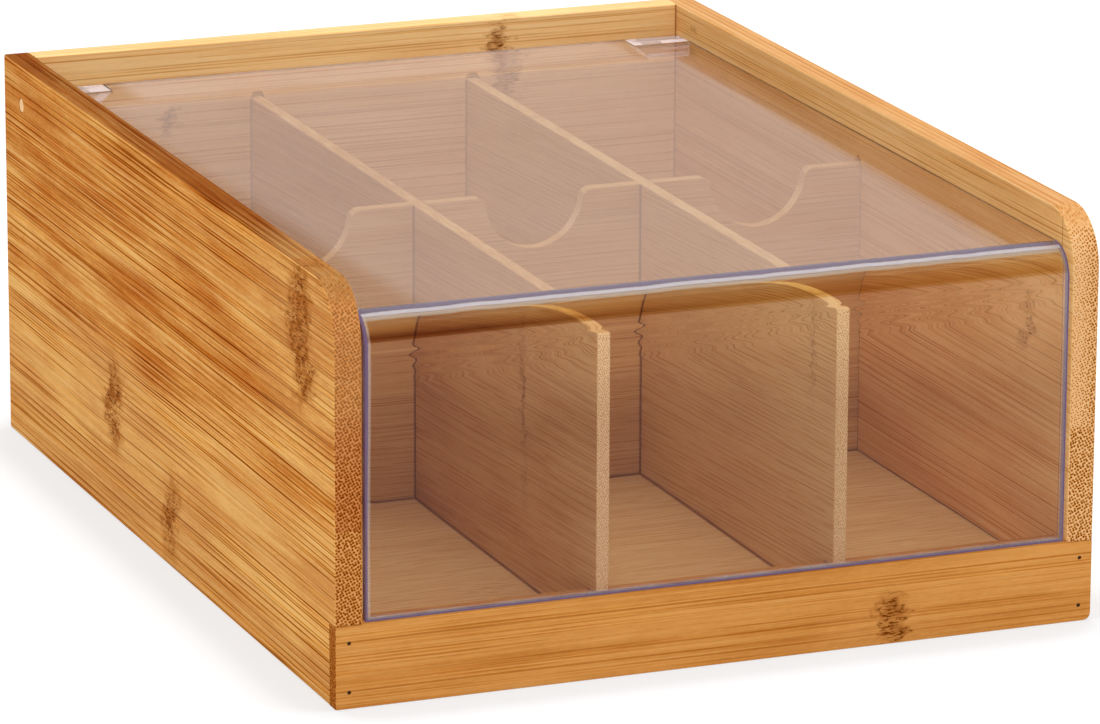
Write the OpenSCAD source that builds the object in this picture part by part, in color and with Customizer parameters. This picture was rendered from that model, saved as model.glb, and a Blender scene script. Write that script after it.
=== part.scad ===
// Tea bag organizer box. A bamboo box with six bays stands under a bent clear lid,
// which swings up and back on two short pins near the back.
// Millimetres, +Z up. The front faces -Y and the origin is the centre of the underside.

/* [Box] */
// Width over both side panels
box_w = 230; // [200:1:300]
// Depth from the rail's face to the back
box_d = 300; // [240:1:380]
// Height of the side and back panels
box_h = 120; // [104:1:160]
// Thickness of the side and back panels
panel_t = 8; // [7:0.5:12]
// Radius of the side panels' front top corner
corner_r = 16; // [8:1:20]

/* [Front rail] */
// Height of the rail
rail_h = 24; // [19:0.5:32]
// Thickness of the rail between the side panels
rail_t = 10; // [8:0.5:12]
// Thickness of the laps that cover the side panels' ends
lap_t = 5; // [3:0.5:6]

/* [Rail brads] */
// Diameter of a brad
brad_d = 1.2; // [1:0.1:1.6]
// Length of a brad
brad_l = 18; // [12:1:25]
// How deep the brads are set below the rail's face
brad_sink = 0.5; // [0.3:0.1:1]
// Height of the lower brads
brad_low_z = 4.8; // [3:0.1:5]
// Distance of the upper brads below the rail's top
brad_high_drop = 5; // [3:0.5:5.5]

/* [Bottom panel] */
// Height of the floor above the underside
floor_z = 11.5; // [8:0.5:12]
// Thickness of the bottom panel
bottom_t = 5; // [3:0.5:5.5]
// Depth of the grooves that hold the bottom panel
bottom_groove = 3; // [2:0.5:4]

/* [Dividers] */
// Thickness of the dividers
divider_t = 4; // [3:0.5:6]
// Space between the dividers' tops and the lid
divider_gap = 9.25; // [7:0.25:20]
// Depth of the grooves that hold the dividers' ends
divider_groove = 3; // [2:0.5:4]
// Space between the front pane and the dividers' front ends
divider_front_gap = 1; // [0.5:0.1:2]
// How far the left divider stands right of an even spacing
left_shift = 1.5; // [-5:0.1:5]
// How far the right divider stands right of an even spacing
right_shift = 1; // [-5:0.1:5]
// How far the cross divider stands behind the middle of the inside
cross_shift = -2; // [-20:0.5:20]

/* [Finger notches] */
// Width of a notch
notch_w = 31; // [20:1:32]
// Depth of a notch
notch_depth = 16.5; // [16:0.5:26]
// Rounding of a notch's upper corners
notch_ease = 3; // [1:0.5:5]

/* [Lid] */
// Thickness of the clear sheet
sheet_t = 2.5; // [2:0.1:3]
// Height of the side panels' tops above the lid
lid_drop = 9; // [6:0.25:12]
// Gap between the lid and each side panel
lid_side_gap = 1; // [0.5:0.1:2]
// How far the front pane stands behind the rail's face
lid_setback = 0.5; // [0:0.1:1]
// Gap between the front pane and the rail's top
lid_rail_gap = 0.3; // [0.2:0.1:1]
// Outer radius of the bend
bend_r = 9.5; // [4:0.5:12]

/* [Hinges] */
// Distance of the hinge axis from the back panel
axis_from_back = 9.5; // [8:0.5:16]
// Diameter of a hinge pin
pin_d = 3; // [2:0.1:3.2]
// Radial clearance of a pin in its block
pin_clearance = 0.06; // [0.02:0.01:0.1]
// How far a pin reaches into its block
pin_reach = 8; // [5:0.5:9]
// Space beyond the pin's end in the block
pin_end_gap = 0.5; // [0.3:0.1:1]
// Length of a hinge block
block_l = 19; // [16:0.5:30]
// Depth of a hinge block, front to back
block_d = 9.5; // [7:0.5:12]
// Height of a hinge block
block_h = 7; // [6:0.25:9]
// Length of the bevel under a block's inner end
bevel_l = 5; // [2:0.5:6]
// Diameter of the plug over a pin's outer end
plug_d = 4.4; // [3.5:0.1:6]
// Thickness of the plug
plug_t = 2.5; // [1.5:0.5:3.5]

/* [Hidden] */
$fn = 96;

// How far a cut runs past the face it opens
over = 1;

// Planes of the box
front_y = -box_d / 2;
back_y = box_d / 2;
inner_x = box_w / 2 - panel_t;
back_inner_y = back_y - panel_t;
rail_back_y = front_y + rail_t;

// Planes of the lid
lid_top_z = box_h - lid_drop;
lid_under_z = lid_top_z - sheet_t;
lid_half_w = inner_x - lid_side_gap;
pane_front_y = front_y + lid_setback;
pane_bottom_z = rail_h + lid_rail_gap;
bend_y = pane_front_y + bend_r;
bend_z = lid_top_z - bend_r;

// Planes of the dividers; a divider's place is the place of its left or front face
divider_top_z = lid_under_z - divider_gap;
divider_front_y = pane_front_y + sheet_t + divider_front_gap;
even_bay_w = (2 * inner_x - 2 * divider_t) / 3;
left_divider_x = -inner_x + even_bay_w + left_shift;
right_divider_x = -inner_x + 2 * even_bay_w + divider_t + right_shift;
cross_front_y = (rail_back_y + back_inner_y - divider_t) / 2 + cross_shift;
half_lap_z = (floor_z + divider_top_z) / 2;

// Left and right ends of the three columns of bays
bay_left = [-inner_x, left_divider_x + divider_t, right_divider_x + divider_t];
bay_right = [left_divider_x, right_divider_x, inner_x];

// The hinge axis runs along X through the middle of the blocks, which are let into the
// sheet's rear corners: their tops lie in its top face and their backs in its rear edge
axis_y = back_inner_y - axis_from_back;
axis_z = lid_top_z - block_h / 2;
block_front_y = axis_y - block_d / 2;
lid_back_y = axis_y + block_d / 2;
block_end_x = lid_half_w - block_l;
plug_inner_x = box_w / 2 - plug_t;

// Colours of the stock
honey_bamboo = [0.80, 0.55, 0.28];
pale_bamboo = [0.85, 0.66, 0.44];
clear_acrylic = [0.80, 0.80, 0.88, 0.35];
steel = [0.62, 0.62, 0.64];

// A shape drawn in Y and Z, extruded along X from x0 over the length l
module extrude_x(x0, l) {
    translate([x0, 0, 0])
        rotate([90, 0, 90])
            linear_extrude(l)
                children();
}

// A rod along X from x0 to x1, centred on a point in Y and Z
module rod_x(x0, x1, y, z, d) {
    translate([x0, y, z])
        rotate([0, 90, 0])
            cylinder(h = x1 - x0, d = d);
}

// The bottom panel's own outline, which also cuts the grooves that hold it
module bottom_blank() {
    half_w = inner_x + bottom_groove;
    y0 = rail_back_y - bottom_groove;
    y1 = back_inner_y + bottom_groove;
    translate([-half_w, y0, floor_z - bottom_t])
        cube([2 * half_w, y1 - y0, bottom_t]);
}

// The four brads' lines, from y0 back over the length l
module brad_rods(y0, l) {
    for (side = [-1, 1])
        for (z = [brad_low_z, rail_h - brad_high_drop])
            translate([side * (box_w - panel_t) / 2, y0, z])
                rotate([-90, 0, 0])
                    cylinder(h = l, d = brad_d, $fn = 32);
}

// Outline of a side panel: rounded front top corner, front foot cut back for the rail
module side_outline() {
    difference() {
        union() {
            translate([front_y, 0])
                square([box_d, box_h - corner_r]);
            translate([front_y + corner_r, 0])
                square([box_d - corner_r, box_h]);
            translate([front_y + corner_r, box_h - corner_r])
                circle(r = corner_r);
        }
        translate([front_y - over, -over])
            square([lap_t + over, rail_h + over]);
    }
}

// Stopped groove for the cross divider's end, with the cutter's round end at its top
module cross_groove() {
    depth = divider_groove;
    translate([inner_x - over, cross_front_y, floor_z])
        cube([depth + over, divider_t, divider_top_z - floor_z]);
    rod_x(inner_x - over, inner_x + depth, cross_front_y + divider_t / 2, divider_top_z, divider_t);
}

// The right side panel; the left one is its mirror image
module side_panel() {
    difference() {
        extrude_x(inner_x, panel_t)
            side_outline();
        bottom_blank();
        cross_groove();
        brad_rods(front_y, brad_sink + brad_l);
        rod_x(inner_x - over, plug_inner_x + over, axis_y, axis_z, pin_d);
        rod_x(plug_inner_x, box_w / 2 + over, axis_y, axis_z, plug_d);
    }
}

module right_side_panel() {
    color(honey_bamboo)
        side_panel();
}

module left_side_panel() {
    color(honey_bamboo)
        mirror([1, 0, 0])
            side_panel();
}

// The back panel stands between the side panels and is grooved for the long dividers
module back_panel() {
    color(honey_bamboo)
        difference() {
            translate([-inner_x, back_inner_y, 0])
                cube([2 * inner_x, panel_t, box_h]);
            bottom_blank();
            for (x = [left_divider_x, right_divider_x]) {
                translate([x, back_inner_y - over, floor_z])
                    cube([divider_t, divider_groove + over, divider_top_z - floor_z]);
                translate([x + divider_t / 2, back_inner_y - over, divider_top_z])
                    rotate([-90, 0, 0])
                        cylinder(h = divider_groove + over, d = divider_t);
            }
        }
}

// The rail laps over the side panels' ends and fills the width between them
module front_rail() {
    color(honey_bamboo)
        difference() {
            union() {
                translate([-box_w / 2, front_y, 0])
                    cube([box_w, lap_t, rail_h]);
                translate([-inner_x, front_y, 0])
                    cube([2 * inner_x, rail_t, rail_h]);
            }
            bottom_blank();
            translate([0, -over, 0])
                brad_rods(front_y, brad_sink + brad_l + over);
        }
}

module bottom_panel() {
    color(pale_bamboo)
        bottom_blank();
}

// A long divider: its front foot steps over the rail, its back end sits in the groove,
// and a slot from below takes the cross divider
module long_divider(x) {
    y1 = back_inner_y + divider_groove;
    color(pale_bamboo)
        difference() {
            translate([x, divider_front_y, floor_z])
                cube([divider_t, y1 - divider_front_y, divider_top_z - floor_z]);
            translate([x - over, divider_front_y - over, floor_z - over])
                cube([divider_t + 2 * over, rail_back_y - divider_front_y + over, rail_h - floor_z + over]);
            translate([x - over, cross_front_y, floor_z - over])
                cube([divider_t + 2 * over, divider_t, half_lap_z - floor_z + over]);
        }
}

module left_divider() {
    long_divider(left_divider_x);
}

module right_divider() {
    long_divider(right_divider_x);
}

// Finger notch drawn in X and Z, centred on x = 0 with the divider's top at z = 0
module notch_outline() {
    r = notch_w / 2;
    translate([0, r - notch_depth])
        circle(r = r);
    translate([-r, r - notch_depth])
        square([notch_w, notch_depth - r + over]);
    for (side = [-1, 1])
        difference() {
            translate([side * r - (side < 0 ? notch_ease : 0), -notch_ease])
                square([notch_ease, notch_ease + over]);
            translate([side * (r + notch_ease), -notch_ease])
                circle(r = notch_ease, $fn = 32);
        }
}

// Finger notch cut through the cross divider
module notch_cut() {
    translate([0, cross_front_y + divider_t + over, 0])
        rotate([90, 0, 0])
            linear_extrude(divider_t + 2 * over)
                notch_outline();
}

// The cross divider: slots from above take the long dividers, and each bay has a notch
module cross_divider() {
    half_w = inner_x + divider_groove;
    color(pale_bamboo)
        difference() {
            translate([-half_w, cross_front_y, floor_z])
                cube([2 * half_w, divider_t, divider_top_z - floor_z]);
            for (x = [left_divider_x, right_divider_x])
                translate([x, cross_front_y - over, half_lap_z])
                    cube([divider_t, divider_t + 2 * over, divider_top_z - half_lap_z + over]);
            for (i = [0:2])
                translate([(bay_left[i] + bay_right[i]) / 2, 0, divider_top_z])
                    notch_cut();
        }
}

// Section of the bent sheet in Y and Z
module lid_section() {
    translate([bend_y, lid_under_z])
        square([lid_back_y - bend_y, sheet_t]);
    translate([pane_front_y, pane_bottom_z])
        square([sheet_t, bend_z - pane_bottom_z]);
    intersection() {
        difference() {
            translate([bend_y, bend_z])
                circle(r = bend_r);
            translate([bend_y, bend_z])
                circle(r = bend_r - sheet_t);
        }
        translate([bend_y - bend_r, bend_z])
            square(bend_r);
    }
}

// The bent sheet, with a corner cut out at each end of its rear edge for a hinge block
module lid() {
    color(clear_acrylic)
        difference() {
            extrude_x(-lid_half_w, 2 * lid_half_w)
                lid_section();
            for (x = [-lid_half_w - over, block_end_x])
                translate([x, block_front_y, lid_under_z - over])
                    cube([block_l + over, block_d + over, sheet_t + 2 * over]);
        }
}

// The right hinge block, bored for the pin; below the sheet its inner end is bevelled
module hinge_block() {
    bottom_z = lid_top_z - block_h;
    bore_d = pin_d + 2 * pin_clearance;
    difference() {
        translate([0, lid_back_y, 0])
            rotate([90, 0, 0])
                linear_extrude(block_d)
                    polygon([
                        [lid_half_w, lid_top_z],
                        [block_end_x, lid_top_z],
                        [block_end_x, lid_under_z],
                        [block_end_x + bevel_l, bottom_z],
                        [lid_half_w, bottom_z]
                    ]);
        rod_x(lid_half_w - pin_reach - pin_end_gap, lid_half_w + over, axis_y, axis_z, bore_d);
    }
}

module right_hinge_block() {
    color(clear_acrylic)
        hinge_block();
}

module left_hinge_block() {
    color(clear_acrylic)
        mirror([1, 0, 0])
            hinge_block();
}

// A pin is fast in its side panel and turns in its block
module hinge_pin() {
    rod_x(lid_half_w - pin_reach, plug_inner_x, axis_y, axis_z, pin_d);
}

module right_hinge_pin() {
    color(steel)
        hinge_pin();
}

module left_hinge_pin() {
    color(steel)
        mirror([1, 0, 0])
            hinge_pin();
}

// A round plug closes the pin's hole, flush with the side panel's outer face
module pin_plug() {
    rod_x(plug_inner_x, box_w / 2, axis_y, axis_z, plug_d);
}

module right_pin_plug() {
    color(pale_bamboo)
        pin_plug();
}

module left_pin_plug() {
    color(pale_bamboo)
        mirror([1, 0, 0])
            pin_plug();
}

// Four brads hold the rail's laps to the side panels' ends
module front_rail_brads() {
    color(steel)
        brad_rods(front_y + brad_sink, brad_l);
}

left_side_panel();
right_side_panel();
back_panel();
front_rail();
bottom_panel();
left_divider();
right_divider();
cross_divider();
lid();
left_hinge_block();
right_hinge_block();
left_hinge_pin();
right_hinge_pin();
left_pin_plug();
right_pin_plug();
front_rail_brads();
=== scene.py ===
"""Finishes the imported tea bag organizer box: bamboo boards, a bent clear lid, pins, brads and a stage.

The boards are sawn from outlines, grooved and bored, and their edges are eased. Every length is in
metres, and in millimetres inside the finishes. The front faces -Y, and the box stands on z = 0.
"""

import math

import bmesh
import bpy
from bpy.props import FloatProperty, FloatVectorProperty, PointerProperty
from mathutils import Matrix, Vector


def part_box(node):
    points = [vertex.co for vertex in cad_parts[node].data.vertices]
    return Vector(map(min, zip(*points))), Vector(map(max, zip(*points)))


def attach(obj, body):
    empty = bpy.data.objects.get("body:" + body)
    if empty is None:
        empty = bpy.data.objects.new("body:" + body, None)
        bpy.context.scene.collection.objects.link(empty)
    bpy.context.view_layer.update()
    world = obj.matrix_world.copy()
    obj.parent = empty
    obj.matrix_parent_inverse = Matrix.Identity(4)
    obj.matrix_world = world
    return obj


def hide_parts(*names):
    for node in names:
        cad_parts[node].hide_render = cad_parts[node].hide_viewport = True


bl_info = {
    "name": "Tea bag organizer box",
    "version": (1, 0, 0),
    "blender": (4, 5, 0),
    "location": "View3D > Sidebar > Tea Box",
    "description": "Builds the boards, clear lid, hinges and stage of a bamboo tea bag organizer box",
    "category": "Object",
}

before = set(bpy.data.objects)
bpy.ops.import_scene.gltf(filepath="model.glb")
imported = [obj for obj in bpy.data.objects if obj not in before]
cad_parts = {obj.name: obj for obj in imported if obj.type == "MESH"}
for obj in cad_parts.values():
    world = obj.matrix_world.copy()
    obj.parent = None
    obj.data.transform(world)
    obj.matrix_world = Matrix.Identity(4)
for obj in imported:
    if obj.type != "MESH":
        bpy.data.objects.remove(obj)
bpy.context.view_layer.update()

MM = 0.001
X, Y, Z = 0, 1, 2
# How far a cut runs past the face it opens
OVER = 0.001
# Corners closer together than this are one corner
WELD = 0.001 * MM
# Edges that turn more than this are eased, and stay crisp in the shading
CRISP = math.radians(35)
# Clearances round a pin fast in its board, and round a plug or a let-in block
PIN_FIT = 0.02 * MM
LET_IN_FIT = 0.05 * MM
# Ripples under the lid's bend: their length, the way on which they fade, and the sawn steps along them
RIPPLE_LENGTH = 3.2 * MM
RIPPLE_FADE = 3 * MM
RIPPLE_STEP = 0.4 * MM
RIPPLE_STEPS = 26
# How far below and behind the bend the sheet still wanders, and how often it is cut across for that
WAVE_REACH = 12 * MM
WAVE_CUTS = 60

SIDE_LO, SIDE_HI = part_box("right_side_panel")
BACK_LO, BACK_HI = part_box("back_panel")
RAIL_LO, RAIL_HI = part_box("front_rail")
FLOOR_LO, FLOOR_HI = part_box("bottom_panel")
LEFT_LO, LEFT_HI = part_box("left_divider")
RIGHT_LO, RIGHT_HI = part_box("right_divider")
CROSS_LO, CROSS_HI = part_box("cross_divider")
LID_LO, LID_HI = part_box("lid")
BLOCK_LO, BLOCK_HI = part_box("right_hinge_block")
PIN_LO, PIN_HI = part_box("right_hinge_pin")
PLUG_LO, PLUG_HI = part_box("right_pin_plug")
BRADS_LO, BRADS_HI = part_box("front_rail_brads")


def round_bar(lo, hi):
    """The middle in Y and Z and the radius of a bar that lies along X."""
    return (lo.y + hi.y) / 2, (lo.z + hi.z) / 2, (hi.z - lo.z) / 2


PIN_Y, PIN_Z, PIN_R = round_bar(PIN_LO, PIN_HI)
PLUG_Y, PLUG_Z, PLUG_R = round_bar(PLUG_LO, PLUG_HI)
# Height at which the long dividers and the cross divider lap
HALF_LAP_Z = (FLOOR_HI.z + CROSS_HI.z) / 2
CROSS_Y = (CROSS_LO.y + CROSS_HI.y) / 2
DIVIDER_T = LEFT_HI.x - LEFT_LO.x
INNER_X = SIDE_LO.x
# Left and right faces of the long dividers, and ends of the three columns of bays
DIVIDERS = ((LEFT_LO.x, LEFT_HI.x), (RIGHT_LO.x, RIGHT_HI.x))
BAYS = ((-INNER_X, LEFT_LO.x), (LEFT_HI.x, RIGHT_LO.x), (RIGHT_HI.x, INNER_X))


# ---------------------------------------------------------------- sizes and colours


def length(name, default, least, description):
    """A length property, written in millimetres."""
    return FloatProperty(
        name=name, description=description, default=default * MM, min=least * MM,
        unit="LENGTH", subtype="DISTANCE",
    )


class TeaBoxSizes(bpy.types.PropertyGroup):
    """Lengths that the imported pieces' own boxes don't give."""

    corner_radius: length("Corner radius", 16, 1, "Radius of the side boards' front top corners")
    lap: length("Rail lap", 5, 1, "Thickness of the rail's laps over the side boards' ends")
    groove: length("Groove depth", 3, 1, "Depth of the grooves that hold the floor board and the dividers")
    floor_gap: length("Floor gap", 0.35, 0, "Height of the gap over the floor board in its grooves")
    divider_gap: length("Divider gap", 0.2, 0, "Gap beside a divider in its groove or half lap")
    edge_ease: length("Edge ease", 0.6, 0.05, "How much the boards' open edges are sanded off")
    joint_ease: length("Joint ease", 0.25, 0.02, "How much edges that meet another board are sanded off")
    divider_ease: length("Divider ease", 0.45, 0.05, "How much the dividers' open edges are sanded off")
    divider_corner: length("Divider corner", 1.2, 0.05, "Rounding of the long dividers' front top corners")
    rail_corner: length("Rail corner", 2.2, 0.05, "Rounding of the rail's lower right corner")
    notch_width: length("Notch width", 31, 10, "Width of a finger notch")
    notch_depth: length("Notch depth", 16.5, 8, "Depth of a finger notch")
    notch_round: length("Notch rounding", 3, 0.5, "Rounding of a notch's upper corners")
    sheet: length("Sheet thickness", 2.5, 1, "Thickness of the lid's clear sheet")
    bend_radius: length("Bend radius", 9.5, 3, "Outer radius of the lid's bend")
    bend_ripple: length("Bend ripple", 0.3, 0, "Height of the ripples that heating leaves under the bend")
    bend_wave: length("Bend wave", 0.12, 0, "How far the heated bend wanders from a true round")
    sheet_ease: length("Sheet ease", 0.25, 0.02, "How much the clear pieces' edges are polished off")
    block_bevel: length("Block bevel", 5, 1, "Length of the bevel under a hinge block's inner end")
    bore_gap: length("Bore gap", 0.06, 0.01, "Gap round a pin in its block")


def linear(part):
    """Scene-linear value of an sRGB number from 0 to 255."""
    share = part / 255
    return share / 12.92 if share <= 0.04045 else ((share + 0.055) / 1.055) ** 2.4


def colour(name, value, description):
    """A colour property, written as sRGB numbers from 0 to 255."""
    return FloatVectorProperty(
        name=name, description=description, subtype="COLOR", size=3, min=0.0, max=1.0,
        default=[linear(part) for part in value],
    )


class TeaBoxColours(bpy.types.PropertyGroup):
    """Colours of the bamboo, the clear sheet, the metal and the stage."""

    honey: colour("Honey", (207, 146, 74), "Ground of the left board")
    straw: colour("Straw", (233, 192, 124), "Light streaks of the left board")
    amber: colour("Amber", (180, 104, 30), "Dark bands of the left board")
    # fibre also paints shade: on the left board's long edges, in the box's inner corners and along its
    # floor
    fibre: colour("Fibre", (112, 40, 0), "Seams, edges and dusty corners of the left board and the rail")
    toffee: colour("Toffee", (198, 141, 73), "Ground of the rail")
    caramel: colour("Caramel", (214, 160, 93), "Light streaks of the rail")
    russet: colour("Russet", (176, 112, 49), "Dark bands and sawn ends of the rail")
    end_grain: colour("End grain", (190, 126, 76), "Ground of the left board's sawn ends")
    blonde: colour("Blonde", (242, 198, 136), "Ground of the right and back boards")
    chaff: colour("Chaff", (252, 222, 166), "Light streaks of the right and back boards")
    wheat: colour("Wheat", (222, 170, 106), "Dark bands of the right and back boards")
    # tan also paints shade: on the right board's long edges, in the box's inner corners and along its floor
    tan: colour("Tan", (172, 110, 54), "Seams, edges and dusty corners of the right and back boards")
    blonde_end: colour("Blonde end", (219, 175, 128), "Ground of the right and back boards' sawn ends")
    biscuit: colour("Biscuit", (221, 176, 116), "Ground of the inner boards")
    cream: colour("Cream", (237, 205, 149), "Light streaks of the inner boards")
    cinnamon: colour("Cinnamon", (195, 146, 91), "Dark bands and sawn bundles of the inner boards")
    inner_end: colour("Inner end", (255, 222, 174), "Ground of the inner boards' sawn ends")
    # pore also paints the shade in the box's inner corners, along its floor and beside the dividers
    pore: colour("Pore", (150, 90, 50), "Seams and dusty corners of the inner boards")
    halo: colour("Halo", (252, 214, 108), "Stain in the wood round its fibre bundles")
    vein: colour("Vein", (150, 108, 4), "What a fibre bundle leaves of the wood's colour on a face")
    dot: colour("Dot", (104, 46, 10), "Fibre bundles in the outer boards' sawn ends")
    steel: colour("Steel", (186, 186, 190), "Hinge pins")
    # The brads are darkened as painted shade, for the shade in their sunk holes
    brad: colour("Brad", (70, 56, 46), "Brads, darkened by the finish over them")
    sheet_tint: colour("Sheet tint", (196, 188, 236), "What the clear sheet lets through over a long way")
    glare: colour("Glare", (150, 150, 158), "How much the clear sheet mirrors head on")
    clear: colour("Clear", (250, 245, 246), "What the lid's top lets through")
    # bloom also colours the hinge blocks' painted edge glow
    bloom: colour("Bloom", (240, 234, 236), "What the hinge blocks and the top of the bend let through")
    # The pane's two colours paint shade: the bays seen through the pane look darker low down and to the
    # left
    painted_pane_low: colour("Pane, low down", (224, 214, 207), "What the lid's upright pane lets through low down")
    painted_pane_high: colour("Pane, high up", (255, 250, 243), "What the lid's upright pane lets through high up")
    bend_gloom: colour("Bend gloom", (168, 118, 62), "Shade along the foot of the bend, to the left")
    # The bend's middle and high colours paint in the bamboo's orange that the bend bends into view
    bend_middle: colour("Bend, middle", (234, 206, 142), "What the middle of the bend lets through")
    bend_high: colour("Bend, high up", (239, 224, 174), "What the bend lets through under its bright line")
    # The bend's line colour is a painted highlight; the edge tint paints the violet that the sheet's sides
    # show through its faces
    painted_bend_highlight: colour("Bend line", (200, 196, 196), "The bright line along the bend")
    painted_edge_violet: colour("Edge tint", (110, 91, 124), "Edges of the clear sheet's pane and bend")
    # Painted light and shade inside the sheet: a violet for light that runs in the pane and the bend, a
    # brown for the shade in the gap beside the top's sides
    caught_light: colour("Caught light", (114, 99, 110), "Light that runs inside the pane and the bend")
    painted_gap_shade: colour("Caught dusk", (108, 66, 36), "Light that runs inside the lid's top")


def sizes():
    """The box's own lengths."""
    return bpy.context.scene.tea_box_sizes


def colours():
    """The box's colours."""
    return bpy.context.scene.tea_box_colours


# ---------------------------------------------------------------- boards and sheet


def slab(outline, axis, start, end):
    """A closed shape sawn to an outline across an axis, from start to end along it."""
    bm = bmesh.new()
    rim = []
    for first, second in outline:
        place = [first, second]
        place.insert(axis, start)
        rim.append(bm.verts.new(place))
    face = bm.faces.new(rim)
    made = bmesh.ops.extrude_face_region(bm, geom=[face])
    far = [vert for vert in made["geom"] if isinstance(vert, bmesh.types.BMVert)]
    shift = Vector((0, 0, 0))
    shift[axis] = end - start
    bmesh.ops.translate(bm, verts=far, vec=shift)
    bmesh.ops.recalc_face_normals(bm, faces=bm.faces)
    return bm


def brick(lo, hi):
    """A rectangular block between two corners."""
    bm = bmesh.new()
    size = Vector(hi) - Vector(lo)
    middle = (Vector(hi) + Vector(lo)) / 2
    bmesh.ops.create_cube(bm, size=1.0, matrix=Matrix.Translation(middle) @ Matrix.Diagonal((*size, 1)))
    return bm


def rod(axis, start, end, first, second, radius, sides=32):
    """A round bar along X or Y; first and second are its place in the other two directions."""
    bm = bmesh.new()
    turn = {X: Matrix.Rotation(math.pi / 2, 4, "Y"), Y: Matrix.Rotation(-math.pi / 2, 4, "X")}
    place = [first, second]
    place.insert(axis, (start + end) / 2)
    bmesh.ops.create_cone(
        bm, cap_ends=True, segments=sides, radius1=radius, radius2=radius, depth=end - start,
        matrix=Matrix.Translation(place) @ turn[axis],
    )
    return bm


def arc(centre, radius, start, end, steps):
    """Points on an arc from one angle to another, in degrees."""
    points = []
    for i in range(steps + 1):
        angle = math.radians(start + (end - start) * i / steps)
        points.append((centre[0] + radius * math.cos(angle), centre[1] + radius * math.sin(angle)))
    return points


def ease(bm, width, segments, pick=lambda middle: True):
    """Rounds the crisp edges whose middle is picked."""
    edges = []
    for edge in bm.edges:
        middle = (edge.verts[0].co + edge.verts[1].co) / 2
        if edge.is_manifold and edge.calc_face_angle() > CRISP and pick(middle):
            edges.append(edge)
    bmesh.ops.bevel(
        bm, geom=edges, offset=width, offset_type="OFFSET", affect="EDGES",
        segments=segments, profile=0.5, material=-1, clamp_overlap=True,
    )


def raw_object(name, bm):
    """An object for a mesh in the making."""
    mesh = bpy.data.meshes.new(name)
    bm.to_mesh(mesh)
    bm.free()
    thing = bpy.data.objects.new(name, mesh)
    bpy.context.scene.collection.objects.link(thing)
    return thing


def cut(bm, cutters):
    """The shape with closed cutters taken out of it."""
    blank = raw_object("blank", bm)
    blades = [raw_object("blade", cutter) for cutter in cutters]
    for blade in blades:
        carve = blank.modifiers.new("carve", "BOOLEAN")
        carve.operation = "DIFFERENCE"
        carve.solver = "EXACT"
        carve.object = blade
    graph = bpy.context.evaluated_depsgraph_get()
    carved = bpy.data.meshes.new_from_object(blank.evaluated_get(graph))
    if not carved.polygons:
        raise RuntimeError("a cut left nothing of its board")
    result = bmesh.new()
    result.from_mesh(carved)
    bpy.data.meshes.remove(carved)
    for thing in [blank, *blades]:
        mesh = thing.data
        bpy.data.objects.remove(thing)
        bpy.data.meshes.remove(mesh)
    return result


def set_in_place(name, bm, finish, node, body):
    """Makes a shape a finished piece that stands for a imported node."""
    bmesh.ops.remove_doubles(bm, verts=bm.verts, dist=WELD)
    bmesh.ops.recalc_face_normals(bm, faces=bm.faces)
    piece = raw_object(name, bm)
    piece.data.shade_smooth()
    piece.data.set_sharp_from_angle(angle=CRISP)
    piece.data.materials.append(finish)
    even = piece.modifiers.new("Even faces", "WEIGHTED_NORMAL")
    even.keep_sharp = True
    even.weight = 100
    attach(piece, body)
    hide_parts(node)


def set_both(name, make, finishes, node, body):
    """Sets a right-hand shape and its mirror image in place, the left one first."""
    for side, finish in zip(("left", "right"), finishes):
        shape = make(sizes())
        if side == "left":
            shape = mirrored(shape)
        set_in_place(f"{side}_{name}", shape, finish, f"{side}_{node}", body)


def mirrored(bm):
    """The same shape on the other side of the box."""
    bmesh.ops.scale(bm, verts=bm.verts, vec=(-1, 1, 1))
    bmesh.ops.reverse_faces(bm, faces=bm.faces)
    return bm


def floor_groove(s):
    """The floor board's blank, with the gap over it that stays open in its grooves."""
    return brick(FLOOR_LO, (FLOOR_HI.x, FLOOR_HI.y, FLOOR_HI.z + s.floor_gap))


def divider_groove(s, axis, middle, face):
    """A stopped upright groove for a divider in a face, with the cutter's round end at its top."""
    half = DIVIDER_T / 2 + s.divider_gap
    low = FLOOR_LO.z + OVER
    crown = arc((middle, CROSS_HI.z), half, 0, 180, 12)
    outline = [(middle - half, low), (middle + half, low), *crown]
    return slab(outline, axis, face - OVER, face + s.groove)


def brad_holes():
    """The four brads' holes, from the rail's face to the brads' heads."""
    middle_x = (SIDE_LO.x + SIDE_HI.x) / 2
    radius = BRADS_HI.x - middle_x
    return [
        rod(Y, RAIL_LO.y - OVER, BRADS_HI.y, x, z, radius, 16)
        for x in (-middle_x, middle_x) for z in (BRADS_LO.z + radius, BRADS_HI.z - radius)
    ]


# ---------------------------------------------------------------- finishes


class Number:
    """A number that a finish's nodes work out. Sums with it are written as usual."""

    def __init__(self, paint, socket):
        self.paint = paint
        self.socket = socket

    def __add__(self, other):
        return self.paint.math("ADD", self, other)

    def __sub__(self, other):
        return self.paint.math("SUBTRACT", self, other)

    def __rsub__(self, other):
        return self.paint.math("SUBTRACT", other, self)

    def __mul__(self, other):
        return self.paint.math("MULTIPLY", self, other)

    def __truediv__(self, other):
        return self.paint.math("DIVIDE", self, other)

    def __abs__(self):
        return self.paint.math("ABSOLUTE", self)

    def rise(self, low, high, out_low=0.0, out_high=1.0):
        """A soft step, reached as the number goes from low to high."""
        step = self.paint.node("MapRange", {"interpolation_type": "SMOOTHSTEP"}, Value=self)
        for key, part in zip(("From Min", "From Max", "To Min", "To Max"), (low, high, out_low, out_high)):
            step.inputs[key].default_value = part
        return Number(self.paint, step.outputs[0])


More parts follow.
